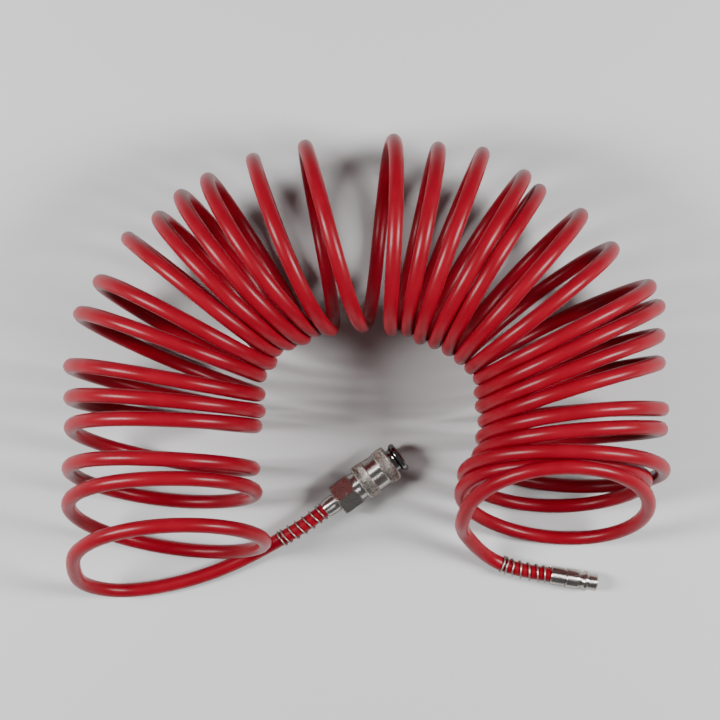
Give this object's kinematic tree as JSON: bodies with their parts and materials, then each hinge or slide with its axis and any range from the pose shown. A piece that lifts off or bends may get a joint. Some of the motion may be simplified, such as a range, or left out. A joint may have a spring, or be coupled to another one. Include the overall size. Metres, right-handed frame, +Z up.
{
  "type": "coiled air hose",
  "caption": "Recoil air hose wound in a close helix that lies in an arch, with a sleeve-release quick coupler on one end, a plug on the other, and a spring guard on each.",
  "frame": {"origin": "under the middle of the bounding box, on the table that the hose lies on", "axes": "+Z up, the coil's arch opens towards -Y, the coupler's end of the coil at -X and the plug's end at +X"},
  "size_m": [0.355, 0.2816, 0.116],
  "materials": {
    "hose_polyurethane": "glossy translucent red",
    "nickel_plated_steel": "bright nickel plate",
    "satin_nickel": "satin nickel, knurled",
    "hardened_steel_chromed": "polished chrome",
    "spring_steel_wire": "drawn wire",
    "nitrile_rubber": "black moulded",
    "turned_brass": "turned"
  },
  "bodies": {
    "hose": {"hose_coil": "hose_polyurethane", "hose_coupler_end": "hose_polyurethane", "hose_plug_end": "hose_polyurethane", "coupler_spring_guard": "spring_steel_wire", "coupler_clamp_nut": "nickel_plated_steel", "coupler_adapter": "nickel_plated_steel", "coupler_body": "hardened_steel_chromed", "sleeve_spring": "spring_steel_wire", "valve_spring": "spring_steel_wire", "socket_seal": "nitrile_rubber", "body_seal": "nitrile_rubber", "plug_spring_guard": "spring_steel_wire", "plug_ferrule": "nickel_plated_steel", "plug_body": "nickel_plated_steel"},
    "sleeve": {"coupler_sleeve": "satin_nickel"},
    "valve": {"valve_poppet": "turned_brass", "valve_seal": "nitrile_rubber"},
    "ball_1": {"locking_ball_1": "nickel_plated_steel"},
    "ball_2": {"locking_ball_2": "nickel_plated_steel"},
    "ball_3": {"locking_ball_3": "nickel_plated_steel"},
    "ball_4": {"locking_ball_4": "nickel_plated_steel"},
    "ball_5": {"locking_ball_5": "nickel_plated_steel"},
    "ball_6": {"locking_ball_6": "nickel_plated_steel"}
  },
  "joints": [
    {"name": "sleeve_slide", "type": "slide", "parent": "hose", "child": "sleeve", "axis": [-0.809, -0.5878, 0], "range_m": [0, 0.004], "stiffness_N_per_m": 1200, "springref_m": -0.008, "deforming": ["sleeve_spring"]},
    {"name": "valve_slide", "type": "slide", "parent": "hose", "child": "valve", "axis": [-0.809, -0.5878, 0], "range_m": [0, 0.004], "stiffness_N_per_m": 150, "springref_m": -0.01, "deforming": ["valve_spring"]},
    {"name": "ball_1_slide", "type": "slide", "parent": "hose", "child": "ball_1", "axis": [0, 0, 1], "range_m": [0, 0.00095]},
    {"name": "ball_2_slide", "type": "slide", "parent": "hose", "child": "ball_2", "axis": [0.509, -0.7006, 0.5], "range_m": [0, 0.00095]},
    {"name": "ball_3_slide", "type": "slide", "parent": "hose", "child": "ball_3", "axis": [0.509, -0.7006, -0.5], "range_m": [0, 0.00095]},
    {"name": "ball_4_slide", "type": "slide", "parent": "hose", "child": "ball_4", "axis": [0, 0, -1], "range_m": [0, 0.00095]},
    {"name": "ball_5_slide", "type": "slide", "parent": "hose", "child": "ball_5", "axis": [-0.509, 0.7006, -0.5], "range_m": [0, 0.00095]},
    {"name": "ball_6_slide", "type": "slide", "parent": "hose", "child": "ball_6", "axis": [-0.509, 0.7006, 0.5], "range_m": [0, 0.00095]}
  ],
  "couplings": [
    {"joint": "ball_1_slide", "follows": "sleeve_slide", "ratio": 0.2375},
    {"joint": "ball_2_slide", "follows": "sleeve_slide", "ratio": 0.2375},
    {"joint": "ball_3_slide", "follows": "sleeve_slide", "ratio": 0.2375},
    {"joint": "ball_4_slide", "follows": "sleeve_slide", "ratio": 0.2375},
    {"joint": "ball_5_slide", "follows": "sleeve_slide", "ratio": 0.2375},
    {"joint": "ball_6_slide", "follows": "sleeve_slide", "ratio": 0.2375}
  ]
}
